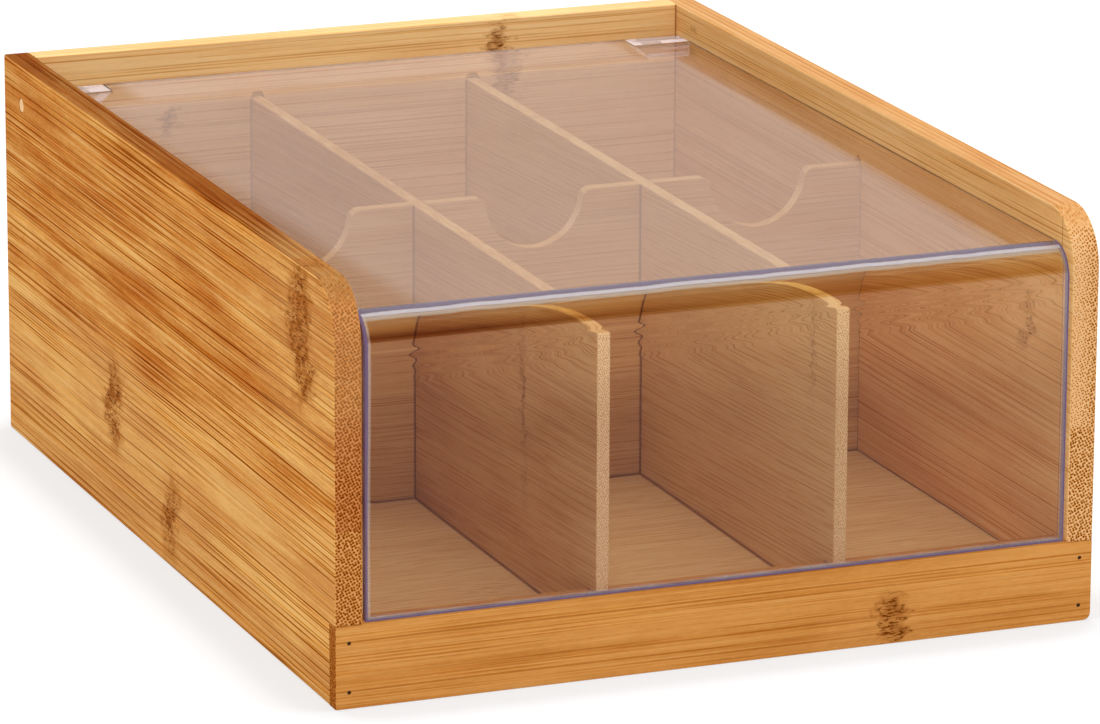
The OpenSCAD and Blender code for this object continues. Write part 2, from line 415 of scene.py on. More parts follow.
class Finish:
    """The nodes of a material or of the sky, with short calls that add them."""

    def __init__(self, owner, output="OutputMaterial"):
        self.owner = owner
        owner.use_nodes = True
        self.tree = owner.node_tree
        self.tree.nodes.clear()
        self.output = self.node(output)

    def node(self, kind, settings=None, **sockets):
        """Adds a node. A socket takes a number, a colour, a vector or another node's output."""
        made = self.tree.nodes.new("ShaderNode" + kind)
        for key, value in (settings or {}).items():
            setattr(made, key, value)
        for key, value in sockets.items():
            self.feed(made.inputs[key.replace("_", " ")], value)
        return made

    def feed(self, socket, value):
        """Sets a socket, or links it."""
        if isinstance(value, Number):
            value = value.socket
        if isinstance(value, bpy.types.NodeSocket):
            self.tree.links.new(value, socket)
        else:
            socket.default_value = value

    def math(self, operation, *values):
        """A sum, product or other function of numbers."""
        made = self.node("Math", {"operation": operation})
        for socket, value in zip(made.inputs, values):
            self.feed(socket, value)
        return Number(self, made.outputs[0])

    def most(self, first, *others):
        """The largest of some numbers."""
        for other in others:
            first = self.math("MAXIMUM", first, other)
        return first

    def vector(self, operation, *values):
        """A sum, product or other function of vectors."""
        made = self.node("VectorMath", {"operation": operation})
        for socket, value in zip(made.inputs, values):
            self.feed(socket, value)
        return made.outputs[0]

    def split(self, vector):
        """The three numbers of a vector."""
        return [Number(self, part) for part in self.node("SeparateXYZ", Vector=vector).outputs]

    def join(self, x, y, z):
        """A vector of three numbers."""
        return self.node("CombineXYZ", X=x, Y=y, Z=z).outputs[0]

    def place(self):
        """Places on the object in millimetres."""
        metres = self.node("TexCoord").outputs["Object"]
        return self.node("VectorMath", {"operation": "SCALE"}, Vector=metres, Scale=1 / MM).outputs[0]

    def facing(self):
        """The three parts of the direction in which a face looks."""
        return self.split(self.node("TexCoord").outputs["Normal"])

    def clouds(self, place, stretch, detail, roughness):
        """Noise whose grains have the given lengths in millimetres along, deep and across."""
        return self.node(
            "TexNoise", {"noise_dimensions": "3D"}, Vector=self.vector("DIVIDE", place, stretch),
            Scale=1.0, Detail=detail, Roughness=roughness,
        ).outputs

    def noise(self, place, stretch, detail=2.0, roughness=0.5):
        """Such noise as one number."""
        return Number(self, self.clouds(place, stretch, detail, roughness)["Fac"])

    def ball(self, place, middle, halves):
        """1 in the middle of an oval, and 0 at its rim, whose half lengths are given."""
        off = self.vector("DIVIDE", self.vector("SUBTRACT", place, middle), halves)
        fade = self.node("TexGradient", {"gradient_type": "SPHERICAL"}, Vector=off)
        return Number(self, fade.outputs["Fac"])

    def ramp(self, value, first, second, *between, curve="LINEAR"):
        """Colours laid out along a value. Each is given with its place."""
        made = self.node("ValToRGB", Fac=value)
        made.color_ramp.interpolation = curve
        stops = made.color_ramp.elements
        for stop, (position, shade) in zip(stops, (first, second)):
            stop.position = position
            stop.color = rgba(shade)
        for position, shade in between:
            stops.new(position).color = rgba(shade)
        return made.outputs["Color"]

    def blend(self, share, first, second, mode="MIX"):
        """One colour laid over another by a share."""
        made = self.node("Mix", {"data_type": "RGBA", "blend_type": mode})
        self.feed(made.inputs[0], share)
        self.feed(made.inputs[6], rgba(first))
        self.feed(made.inputs[7], rgba(second))
        return made.outputs[2]

    def coats(self, tint, *coats):
        """A colour with coats over it. A coat is a share, a colour and, unless MIX, the way of blending."""
        for share, shade, *mode in coats:
            tint = self.blend(share, tint, shade, *mode)
        return tint

    def mix(self, share, first, second):
        """One shader node laid over another by a share."""
        made = self.node("MixShader", Fac=share)
        self.feed(made.inputs[1], first.outputs[0])
        self.feed(made.inputs[2], second.outputs[0])
        return made

    def surface(self, shader):
        """Puts a shader node on the surface and returns what it belongs to."""
        self.feed(self.output.inputs["Surface"], shader.outputs[0])
        return self.owner


def rgba(value):
    """A colour with full alpha, or a socket as it is."""
    if isinstance(value, bpy.types.NodeSocket):
        return value
    return (*value[:3], 1.0)


def material(name):
    """The nodes of a new material."""
    return Finish(bpy.data.materials.new(name))


def painted_inner_shade(paint, place, depth):
    """Painted shade where shade falls in the box: on the floor's rim, in upright corners and beside the
    dividers.
    """
    wall, back, floor, top = (part / MM for part in (INNER_X, BACK_LO.y, FLOOR_HI.z, CROSS_HI.z))
    half = DIVIDER_T / 2 / MM
    x, y, level = paint.split(place)
    aside, ahead = abs(x), abs(y)
    inside = ahead.rise(back + 0.3, back + 0.1) * aside.rise(wall + 0.3, wall + 0.1)
    low = level.rise(floor + 1.1, floor + 0.2) * level.rise(floor, floor + 0.1)
    corner = aside.rise(wall - 0.7, wall - 0.1) * ahead.rise(back - 0.2, back - 0.1)
    beside = []
    if depth != X:
        beside += [abs(x - (left + right) / 2 / MM) for left, right in DIVIDERS]
    if depth != Y:
        beside.append(abs(y - CROSS_Y / MM))
    joint = paint.most(*(off.rise(half + 0.8, half + 0.2) for off in beside)) * level.rise(top, top - 0.5)
    return paint.most(corner, joint, low) * inside


def node_marks(paint, tint, marks, place, along, across, strip, light, dark, vein):
    """Node marks: a smoky zone with short dark dashes, staggered from strip to strip."""
    step = (strip - 0.5) * 6.0
    ragged = (paint.noise(place, (4.0, 3.0, 2.2), 3.0) - 0.5) * 14.0
    spot = paint.join(along + (step + ragged), 0.0, across)
    core = halo = 0.0
    for mark_along, mark_across, half_along, half_across, strength in marks:
        middle = (mark_along, 0.0, mark_across)
        near = paint.ball(spot, middle, (half_along, 1.0, half_across))
        far = paint.ball(spot, middle, (half_along * 4.0, 1.0, half_across * 1.3))
        core = paint.most(core, near * strength)
        halo = paint.most(halo, far * strength)
    uneven = paint.noise(place, (7.0, 5.0, 6.0), 3.0, 0.6).rise(0.3, 0.68, 0.25, 1.0)
    smoke = core.rise(0.0, 0.55) * uneven
    dashes = core.rise(0.15, 0.5) * paint.noise(place, (2.2, 0.9, 0.5), 3.0, 0.65).rise(0.5, 0.6)
    flecks = paint.noise(place, (9.0, 1.5, 0.7), 3.0, 0.65).rise(0.5, 0.68)
    return paint.coats(
        tint,
        (halo * 0.35, light),
        (halo * flecks * 0.7, dark),
        (smoke * 0.8, dark),
        (paint.math("POWER", smoke, 2.0) * 0.5, vein, "MULTIPLY"),
        (dashes * 0.9, vein, "MULTIPLY"),
    )


def bamboo(
    name, grain, depth, tints, marks=(), seed=0.0, bundles=1.0, ends=1.0, pitch=0.88, dots=0.33,
    dense=None, run=110.0, curl=0.0, tilt=0.0, strips=11.0, bands=1.0, blotches=1.0, edge_shade=0.0,
    paler=0.0, glue_line=None, roughness=0.46, sheen=0.002,
):
    """Laminated bamboo.

    grain and depth are the axes along the fibres and through the board. tints names its colours: ground,
    light streaks, dark bands, seams and painted shade, sawn ends, and the bundles in them. marks lists the
    node
    marks: place along, place across, their half lengths, strength. seed picks a board from the pattern.

    Fibre bundles: bundles is the strength of their lines on a face and ends that of the stain round them
    in a sawn end, pitch their spacing, dots their radius in a sawn end against it, dense the range across
    the board where they lie thickest there, run the length of their lines, curl how far the lines wander
    and tilt how much they lean. Tone: strips is the width of a glued strip, bands the strength of the
    bands and streaks along the grain, blotches that of the soft blotches. edge_shade darkens the long
    edges as painted shade. paler is how much paler the board is, all over or under a glue line at a
    height. roughness and sheen are the shader's own.
    """
    paint = material(name)
    ground, light, dark, fibre, end, dot = (getattr(colours(), tint) for tint in tints)
    stain, vein = colours().halo, colours().vein
    where = paint.place()
    parts = paint.split(where)
    facing = paint.facing()
    across_axis = 3 - grain - depth
    along, deep, across = parts[grain], parts[depth], parts[across_axis]
    if tilt:
        across = along * tilt + across
    place = paint.join(along + seed, deep, across)
    sawn = abs(facing[grain]).rise(0.55, 0.85)

    # Fibres wander a little and weave in and out of the planed face
    drift = paint.clouds(place, (150.0, 26.0, 16.0), 2.0, 0.5)["Color"]
    drift = paint.vector("MULTIPLY", paint.vector("SUBTRACT", drift, (0.5, 0.5, 0.5)), (0.0, 1.8, 1.3))
    woven = paint.vector("ADD", place, drift)
    if curl:
        swirl = (paint.noise(place, (46.0, 9.0, 22.0), 1.0) - 0.5) * curl
        woven = paint.vector("ADD", woven, paint.join(0.0, swirl, swirl))

    # Fibre bundles: round in the sawn ends, long lines on the faces
    flat = paint.split(woven)
    section = paint.node(
        "VectorRotate", {"rotation_type": "Z_AXIS"}, Vector=paint.join(flat[2], flat[1], 0.0), Angle=0.44
    )
    cells = paint.node(
        "TexVoronoi", {"voronoi_dimensions": "2D", "feature": "F1"},
        Vector=section.outputs[0], Scale=1.0 / pitch, Randomness=0.46,
    ).outputs
    cell_shade = Number(paint, paint.node("SeparateColor", Color=cells["Color"]).outputs[0])
    wander = paint.noise(woven, (60.0, 2.2, 2.2), 1.0) - 0.5
    dot_radius = dots + 0.02
    if dense:
        # Beside the dense range the dots grow smaller away from the board's outer face
        thick = across.rise(dense[0] - 0.4, dense[0] + 0.4) * across.rise(dense[1] + 0.4, dense[1] - 0.4)
        from_face = SIDE_HI.x / MM - abs(deep)
        dot_radius = dot_radius - (1.0 - thick) * from_face.rise(-1.0, 7.0, 0.0, 0.17)
    radius = paint.node("Mix", {"data_type": "FLOAT"}, Factor=sawn)
    paint.feed(radius.inputs[2], wander * 0.26 + 0.24)
    paint.feed(radius.inputs[3], wander * 0.12 + dot_radius)
    outside = Number(paint, cells["Distance"]) - radius.outputs[0]
    strength = cell_shade * 0.3 + 0.7
    broken = paint.most(paint.noise(woven, (run, 1.6, 1.1), 3.0, 0.55).rise(0.38, 0.52), sawn)
    bundle = outside.rise(0.07, -0.07) * strength * broken
    ring = outside.rise(0.24, 0.0) * strength * broken

    # Tone: wide bands, fine streaks, soft blotches, mottle, and one tone for each glued strip
    row = (across + (3.7 + seed * 0.1)) / strips
    strip = paint.node("TexWhiteNoise", {"noise_dimensions": "1D"}, W=paint.math("FLOOR", row) + seed)
    strip = Number(paint, strip.outputs["Value"])
    blotch = paint.noise(place, (64.0, 14.0, 13.0), 4.0, 0.6)
    tone = 0.5
    for part, share in (
        (paint.noise(woven, (260.0, 7.0, 2.6), 4.0, 0.6), 0.6 * bands),
        (paint.noise(woven, (190.0, 1.6, 0.8), 3.0, 0.6), 0.8 * bands),
        (blotch, 1.7 * blotches),
        (paint.noise(place, (2.6, 0.7, 0.6), 2.0, 0.6), 0.4 * bands),
        (strip, 0.22 * bands),
    ):
        tone = (part - 0.5) * share + tone
    tint = paint.ramp(tone, (0.12, dark), (0.9, light), (0.5, ground), curve="B_SPLINE")

    # Hair-fine fibres between the bundles, then the board's own paleness, the bundles and the painted shade
    # on the edges
    hair = paint.noise(woven, (55.0, 0.34, 0.2), 3.0, 0.6).rise(0.36, 0.62)
    pale = paint.noise(woven, (110.0, 1.2, 0.45), 2.0).rise(0.53, 0.66)
    tint = paint.coats(
        tint, ((1.0 - hair) * (0.5 * bundles), stain, "MULTIPLY"), (pale * 0.5, light), (sawn * 0.92, end)
    )
    if glue_line:
        paler = parts[Z].rise(glue_line + 0.3, glue_line - 0.3) * paler
    if paler:
        tint = paint.blend(paler, tint, light)
    tint = paint.coats(
        tint,
        (ring * (sawn * (ends - bundles) + bundles), stain, "MULTIPLY"),
        (bundle * (sawn * -bundles + bundles), vein, "MULTIPLY"),
        (bundle * sawn, dot),
    )
    # Painted shade: the long edges, the board's top among them, are darkened
    if edge_shade:
        edge = abs(facing[across_axis]).rise(0.5, 0.9)
        tint = paint.blend(edge * edge_shade, tint, fibre, "MULTIPLY")

    # A faint line where two strips are glued, and painted shade in the box's inner corners and along its
    # floor
    seam = abs(paint.math("FRACT", row) - 0.5).rise(0.5 - 0.16 / strips, 0.5)
    # Painted shade in the box's inner corners, along its floor and beside the dividers
    painted_corner_shade = painted_inner_shade(paint, where, depth)
    tint = paint.coats(tint, (seam * 0.3, fibre), (painted_corner_shade * 0.75, fibre, "MULTIPLY"))
    if marks:
        tint = node_marks(paint, tint, marks, place, along, across, strip, light, dark, vein)

    bump = paint.node("Bump", Strength=0.35, Distance=0.06 * MM, Height=bundle * -0.6 + hair * 0.5)
    gloss = (blotch - 0.5) * 0.2 + (sawn * 0.14 + (bundle * 0.16 + roughness))
    return paint.surface(paint.node(
        "BsdfPrincipled", Base_Color=tint, Roughness=gloss, Normal=bump.outputs["Normal"], IOR=1.5,
        Specular_IOR_Level=sheen,
    ))


def honey_bamboo(name, grain, depth, **extra):
    """The orange bamboo of the left side board."""
    tints = ("honey", "straw", "amber", "fibre", "end_grain", "dot")
    return bamboo(name, grain, depth, tints, **extra)


def toffee_bamboo(name, grain, depth, **extra):
    """The even, browner bamboo of the rail."""
    tints = ("toffee", "caramel", "russet", "fibre", "russet", "dot")
    return bamboo(name, grain, depth, tints, bundles=0.45, bands=0.9, blotches=0.7, **extra)


def blonde_bamboo(name, grain, depth, **extra):
    """The paler bamboo of the right side board and the back board."""
    tints = ("blonde", "chaff", "wheat", "tan", "blonde_end", "dot")
    return bamboo(name, grain, depth, tints, bundles=0.45, bands=0.8, blotches=0.7, sheen=0.01, **extra)


def inner_bamboo(name, grain, depth, pitch=0.62, bundles=0.4, **extra):
    """The sanded bamboo of the floor board, the dividers and the plugs."""
    tints = ("biscuit", "cream", "cinnamon", "pore", "inner_end", "cinnamon")
    return bamboo(
        name, grain, depth, tints, pitch=pitch, bundles=bundles, ends=0.3, dots=0.27, run=24.0,
        strips=19.0, bands=0.42, blotches=0.7, roughness=0.58, sheen=0.012, **extra
    )


class ClearSheet(Finish):
    """Clear acrylic that bends light, takes on its tint over a long way and lets lamps through."""

    def __init__(self, name):
        super().__init__(bpy.data.materials.new(name))
        self.where = self.place()
        self.across, self.back, self.level = self.split(self.where)
        self.looks = self.facing()
        self.side, self.ahead, self.up = (abs(part) for part in self.looks)
        # The pane and the bend lie in front of the bend's centre, the top behind it
        bend_y = (LID_LO.y + sizes().bend_radius) / MM
        self.front = self.back.rise(bend_y + 0.4, bend_y - 0.2)

    def finished(self, through, dull, glare, glow=None):
        """The finished material, from its tint, its dull share, its mirroring and its edges' painted glow.
        """
        cloud = self.noise(self.where, (40.0, 40.0, 40.0), 4.0, 0.6).rise(0.35, 0.75, 0.0, 0.012)
        rub = self.noise(self.where, (9.0, 1.2, 1.2), 3.0, 0.6).rise(0.62, 0.8, 0.0, 0.02)
        glass = self.node(
            "BsdfPrincipled", Base_Color=through, Roughness=cloud + rub, IOR=1.49,
            Transmission_Weight=1.0 - dull, Specular_Tint=rgba(glare),
        )
        # Painted light: the edges glow in the bloom colour, though they are no lamp
        if glow:
            glass.inputs["Emission Color"].default_value = rgba(colours().bloom)
            self.feed(glass.inputs["Emission Strength"], glow)
        # Lamps and the light from board to board pass straight through, a little dimmed
        open_way = self.node("BsdfTransparent", Color=(0.86, 0.85, 0.85, 1.0))
        rays = self.node("LightPath").outputs
        # Painted light and shade: past the second inner mirroring the sheet turns a lit violet in the pane
        # and the bend, standing in for light that runs inside them, and a brown on the top's sides,
        # standing in for the shade in the gap beside them
        dusk = self.side.rise(0.3, 0.6) * (1.0 - self.front)
        caught = self.blend(dusk, colours().caught_light, colours().painted_gap_shade)
        caught = self.node("BsdfDiffuse", Color=caught)
        inner = self.mix(self.math("GREATER_THAN", rays["Glossy Depth"], 1.5), glass, caught)
        soft = self.mix(rays["Is Diffuse Ray"], inner, open_way)
        body = self.node("VolumeAbsorption", Color=rgba(colours().sheet_tint), Density=16.0)
        self.feed(self.output.inputs["Volume"], body.outputs[0])
        return self.surface(self.mix(rays["Is Shadow Ray"], soft, open_way))


def lid_film(s):
    """The film on the lid's top: thicker towards the back, thin along the sides and over the blocks."""
    top = s.looks[Z].rise(0.9, 0.99)
    off_rim = abs(s.across) - (s.back * 0.035 + 92.0)
    over_block = abs(s.across).rise(78.0, 86.0) * s.back.rise(108.0, 118.0)
    rear = s.back.rise(100.0, 122.0, 1.0, 2.2) * (over_block * -0.75 + 1.0)
    patchy = s.noise(s.where, (55.0, 55.0, 55.0), 4.0, 0.6).rise(0.3, 0.7, 0.88, 1.12)
    return top * off_rim.rise(5.0, -5.0) * rear * patchy


def lid_acrylic():
    """The lid's clear sheet: a filmed top and a pane, with painted light and shade: the pane darker low
    down, the wood's orange, a highlight and a violet line in the bend, and violet edges.
    """
    c = colours()
    s = ClearSheet("Clear acrylic, lid")
    foot = LID_LO.z / MM
    bend_z = (LID_HI.z - sizes().bend_radius) / MM
    pane = s.level.rise(bend_z + 2.4, bend_z + 1.8)
    bend = (1.0 - pane) * s.front
    # The sawn sides and the lower edge are duller than the faces; the bend is polished
    sawn = s.most(s.side.rise(0.08, 0.3), s.level.rise(foot + 0.5, foot + 0.1))
    # Painted shade: the pane lets more through high up and to the right, so the bays behind it look darker
    # low down and to the left
    painted_pane_shade = (s.across * 0.05 + s.level).rise(69.0, 104.0)
    # Painted reflection: the bend is tinted with the bamboo's orange that it bends into view, with painted
    # shade where it meets the pane
    bend_tint = s.ramp(s.up, (0.42, c.bend_middle), (0.93, c.bloom), (0.84, c.bend_high))
    gloom = s.up.rise(0.6, 0.26) * s.across.rise(30.0, -90.0, 0.15, 1.0)
    bend_tint = s.blend(gloom, bend_tint, c.bend_gloom, "MULTIPLY")
    # A painted highlight line along the bend, and over it a painted violet line
    lively = s.noise(s.where, (9.0, 400.0, 400.0), 2.0)
    height = lively * 0.05 + s.up
    bright = height.rise(0.878, 0.91) * s.up.rise(0.96, 0.94) * bend * s.side.rise(0.3, 0.1)
    over = height.rise(0.955, 0.975) * s.up.rise(0.997, 0.988) * bend * 0.8
    # Painted violet edges, wider up the left one, with a painted highlight line inside them
    wide = s.level.rise(45.0, 100.0, 0.0, 0.4) * s.across.rise(1.0, -1.0)
    inwards = LID_HI.x / MM - abs(s.across) - wide
    inwards = s.math("MINIMUM", inwards, s.level - foot)
    rim = inwards.rise(0.85, 0.55) * s.front
    pale = inwards.rise(0.6, 0.9) * inwards.rise(1.6, 1.2) * lively.rise(0.3, 0.7, 0.35, 1.0)
    pale = pale * s.front * 0.7
    # The sawn sides take painted colours: gap shade brown on the top's, violet on the pane's
    through = s.coats(
        s.blend(sawn, c.clear, s.blend(s.front, c.painted_gap_shade, c.painted_edge_violet)),
        (pane * s.front, s.blend(painted_pane_shade, c.painted_pane_low, c.painted_pane_high)),
        (bend, bend_tint),
        (s.most(bright, pale), c.painted_bend_highlight),
        (s.most(rim, over), c.painted_edge_violet),
    )
    dull = s.most(sawn * 0.35, lid_film(s) * 0.06, bright * 0.5, pale * 0.4, rim * 0.75, over * 0.4)
    return s.finished(through, dull, c.glare)


def block_acrylic():
    """The hinge blocks' thicker acrylic, with dull edges that glow with painted light, and a drilled bore.
    """
    s = ClearSheet("Clear acrylic, hinge blocks")
    eased = s.most(s.ahead, s.up, s.side).rise(0.985, 0.93)
    off = s.join(0.0, s.back - PIN_Y / MM, s.level - PIN_Z / MM)
    off = Number(s, s.node("VectorMath", {"operation": "LENGTH"}, Vector=off).outputs["Value"])
    drilled = off.rise(PIN_R / MM + 0.2, PIN_R / MM + 0.1)
    dull = s.most(eased * 0.95, 0.28, drilled * 0.8)
    return s.finished(rgba(colours().bloom), dull, (1.0, 1.0, 1.0), eased * 0.3)


def steel_wire(name, steel):
    """Drawn steel wire with fine lines along it and a little tarnish."""
    paint = material(name)
    where = paint.place()
    lines = paint.noise(where, (4.0, 0.12, 0.12), 2.0)
    tarnish = paint.noise(where, (2.0, 2.0, 2.0), 3.0).rise(0.4, 0.7)
    tint = paint.blend(tarnish, steel, [part * 0.72 for part in steel])
    bump = paint.node("Bump", Strength=0.2, Distance=0.02 * MM, Height=lines).outputs["Normal"]
    return paint.surface(paint.node(
        "BsdfPrincipled", Base_Color=tint, Metallic=1.0, Roughness=lines * 0.2 + 0.2, Normal=bump
    ))


# ---------------------------------------------------------------- pieces


class TEABOX_OT_side_boards(bpy.types.Operator):
    """Make the two side boards, with their rounded front corners, grooves and holes"""

    bl_idname = "teabox.side_boards"
    bl_label = "Side Boards"

    def execute(self, context):
        honey = honey_bamboo(
            "Honey bamboo, left side", Y, X, seed=11.0, edge_shade=0.6, paler=0.28, glue_line=51.0,
            dots=0.35,
            marks=[
                (-124.0, 101.0, 13.0, 30.0, 1.0), (45.5, 36.0, 12.0, 22.0, 0.75),
                (-9.0, 15.0, 12.0, 22.0, 0.6),
            ],
        )
        blonde = blonde_bamboo(
            "Blonde bamboo, right side", Y, X, seed=57.0, edge_shade=0.45, dense=(-9.0, 58.0),
            marks=[
                (-119.5, 82.0, 7.0, 19.0, 0.5), (60.0, 30.0, 9.0, 22.0, 1.0), (126.0, 114.5, 5.0, 3.0, 0.4),
            ],
        )
        set_both("side_board", self.board, (honey, blonde), "side_panel", "carcass")
        return {"FINISHED"}

    def board(self, s):
        """The right side board."""
        front, back, top = RAIL_LO.y, SIDE_HI.y, SIDE_HI.z
        lap = front + s.lap
        radius = s.corner_radius
        corner = arc((front + radius, top - radius), radius, 90, 180, 20)
        foot = [(front, RAIL_HI.z), (lap, RAIL_HI.z), (lap, 0.0)]
        bm = slab([(back, 0.0), (back, top), *corner, *foot], X, SIDE_LO.x, SIDE_HI.x)
        ease(bm, s.joint_ease, 1, lambda m: m.z <= RAIL_HI.z + OVER / 4 and m.y < lap + OVER)
        ease(bm, s.edge_ease, 3, lambda m: m.z > RAIL_HI.z + OVER or m.y > lap + OVER)
        return cut(bm, [
            floor_groove(s),
            divider_groove(s, X, CROSS_Y, SIDE_LO.x),
            rod(X, SIDE_LO.x - OVER, PLUG_LO.x + OVER, PLUG_Y, PLUG_Z, PIN_R + PIN_FIT),
            rod(X, PLUG_LO.x, SIDE_HI.x + OVER, PLUG_Y, PLUG_Z, PLUG_R + LET_IN_FIT),
        ])


class TEABOX_OT_back_board(bpy.types.Operator):
    """Make the back board, grooved for the floor and the long dividers"""

    bl_idname = "teabox.back_board"
    bl_label = "Back Board"

    def execute(self, context):
        s = sizes()
        bm = brick(BACK_LO, BACK_HI)
        ends = INNER_X - OVER
        ease(bm, s.joint_ease, 1, lambda m: abs(m.x) > ends)
        ease(bm, s.edge_ease, 3, lambda m: abs(m.x) < ends)
        grooves = [divider_groove(s, Y, (left + right) / 2, BACK_LO.y) for left, right in DIVIDERS]
        finish = blonde_bamboo(
            "Blonde bamboo, back", X, Y, seed=91.0, paler=0.3,
            marks=[
                (47.5, 103.0, 7.0, 24.0, 0.9), (-65.0, 94.0, 5.0, 7.0, 0.8), (-20.0, 30.0, 8.0, 20.0, 1.0),
            ],
        )
        board = cut(bm, [floor_groove(s), *grooves])
        set_in_place("back_board", board, finish, "back_panel", "carcass")
        return {"FINISHED"}


class TEABOX_OT_rail(bpy.types.Operator):
    """Make the front rail, lapped over the side boards' ends and bradded to them"""

    bl_idname = "teabox.rail"
    bl_label = "Front Rail"

    def execute(self, context):
        s = sizes()
        lo, hi = RAIL_LO, RAIL_HI
        lap = lo.y + s.lap
        plan = [
            (lo.x, lo.y), (hi.x, lo.y), (hi.x, lap), (INNER_X, lap),
            (INNER_X, hi.y), (-INNER_X, hi.y), (-INNER_X, lap), (lo.x, lap),
        ]
        bm = slab(plan, Z, lo.z, hi.z)
        ease(bm, s.rail_corner, 5, lambda m: m.z < OVER and m.x > hi.x - OVER and m.y < lap)
        ease(bm, s.joint_ease, 1, lambda m: m.y > lo.y + OVER)
        ease(bm, s.joint_ease * 2, 2, lambda m: m.y < lo.y + OVER / 4)
        finish = toffee_bamboo(
            "Toffee bamboo, rail", X, Y, seed=23.0, marks=[(51.5, 7.0, 7.0, 12.0, 1.0)]
        )
        board = cut(bm, [floor_groove(s), *brad_holes()])
        set_in_place("front_rail_board", board, finish, "front_rail", "carcass")
        return {"FINISHED"}


class TEABOX_OT_floor_board(bpy.types.Operator):
    """Make the floor board that lies in the grooves"""

    bl_idname = "teabox.floor_board"
    bl_label = "Floor Board"

    def execute(self, context):
        bm = brick(FLOOR_LO, FLOOR_HI)
        ease(bm, sizes().joint_ease * 2, 2)
        finish = inner_bamboo("Biscuit bamboo, floor", X, Z, seed=131.0, curl=4.0, paler=0.58)
        set_in_place("floor_board", bm, finish, "bottom_panel", "carcass")
        return {"FINISHED"}


class TEABOX_OT_long_dividers(bpy.types.Operator):
    """Make the two long dividers, stepped over the rail and slotted for the cross divider"""

    bl_idname = "teabox.long_dividers"
    bl_label = "Long Dividers"

    def execute(self, context):
        s = sizes()
        for name, lo, hi, seed, paler, mark in (
            ("left", LEFT_LO, LEFT_HI, 201.0, 0.0, (-90.0, 60.0, 4.0, 60.0, 0.42)),
            ("right", RIGHT_LO, RIGHT_HI, 257.0, 0.48, (-129.0, 78.0, 3.0, 26.0, 0.42)),
        ):
            step_y, step_z = RAIL_HI.y, RAIL_HI.z
            slot_lo, slot_hi = CROSS_LO.y - s.divider_gap / 2, CROSS_HI.y + s.divider_gap / 2
            outline = [
                (lo.y, hi.z), (lo.y, step_z), (step_y, step_z), (step_y, lo.z), (slot_lo, lo.z),
                (slot_lo, HALF_LAP_Z), (slot_hi, HALF_LAP_Z), (slot_hi, lo.z), (hi.y, lo.z), (hi.y, hi.z),
            ]
            bm = slab(outline, X, lo.x, hi.x)
            ease(bm, s.divider_corner, 4, lambda m: self.front_corner(m, lo, hi))
            ease(bm, s.divider_ease, 3, lambda m: m.z > hi.z - 2 * OVER or m.y < lo.y + OVER)
            finish = inner_bamboo(
                f"Biscuit bamboo, {name} divider", Y, X, seed=seed, curl=0.6, tilt=0.05, paler=paler,
                marks=[mark],
            )
            set_in_place(f"{name}_long_divider", bm, finish, f"{name}_divider", "carcass")
        return {"FINISHED"}

    def front_corner(self, middle, lo, hi):
        """Whether an edge is the one across the divider's front top corner."""
        inside = lo.x + OVER < middle.x < hi.x - OVER
        return inside and middle.z > hi.z - OVER and middle.y < lo.y + OVER


class TEABOX_OT_cross_divider(bpy.types.Operator):
    """Make the cross divider, with a finger notch for each bay and slots for the long dividers"""

    bl_idname = "teabox.cross_divider"
    bl_label = "Cross Divider"

    def execute(self, context):
        s = sizes()
        lo, hi = CROSS_LO, CROSS_HI
        gap = s.divider_gap / 2
        outline = [(lo.x, hi.z), (lo.x, lo.z), (hi.x, lo.z), (hi.x, hi.z)]
        slots = list(DIVIDERS)
        for left, right in reversed(BAYS):
            outline += self.notch((left + right) / 2, s)
            if slots:
                start, end = slots.pop()
                start, end = start - gap, end + gap
                outline += [(end, hi.z), (end, HALF_LAP_Z), (start, HALF_LAP_Z), (start, hi.z)]
        bm = slab(outline, Y, lo.y, hi.y)
        rim = hi.z - s.notch_depth - OVER
        ease(bm, s.divider_ease, 3, lambda m: self.on_face(m) and m.z > rim)
        finish = inner_bamboo("Biscuit bamboo, cross divider", X, Y, seed=311.0, curl=1.0, paler=0.2)
        set_in_place("cross_divider_board", bm, finish, "cross_divider", "carcass")
        return {"FINISHED"}

    def on_face(self, middle):
        """Whether an edge lies on one of the broad faces and in no slot."""
        in_slot = any(start - OVER < middle.x < end + OVER for start, end in DIVIDERS)
        return not in_slot and not CROSS_LO.y + OVER < middle.y < CROSS_HI.y - OVER

    def notch(self, middle, s):
        """A notch's rim from its right end to its left."""
        top, half, small = CROSS_HI.z, s.notch_width / 2, s.notch_round
        right = arc((middle + half + small, top - small), small, 90, 180, 6)
        bowl = arc((middle, top + half - s.notch_depth), half, 0, -180, 36)
        left = arc((middle - half - small, top - small), small, 0, 90, 6)
        return right + bowl + left


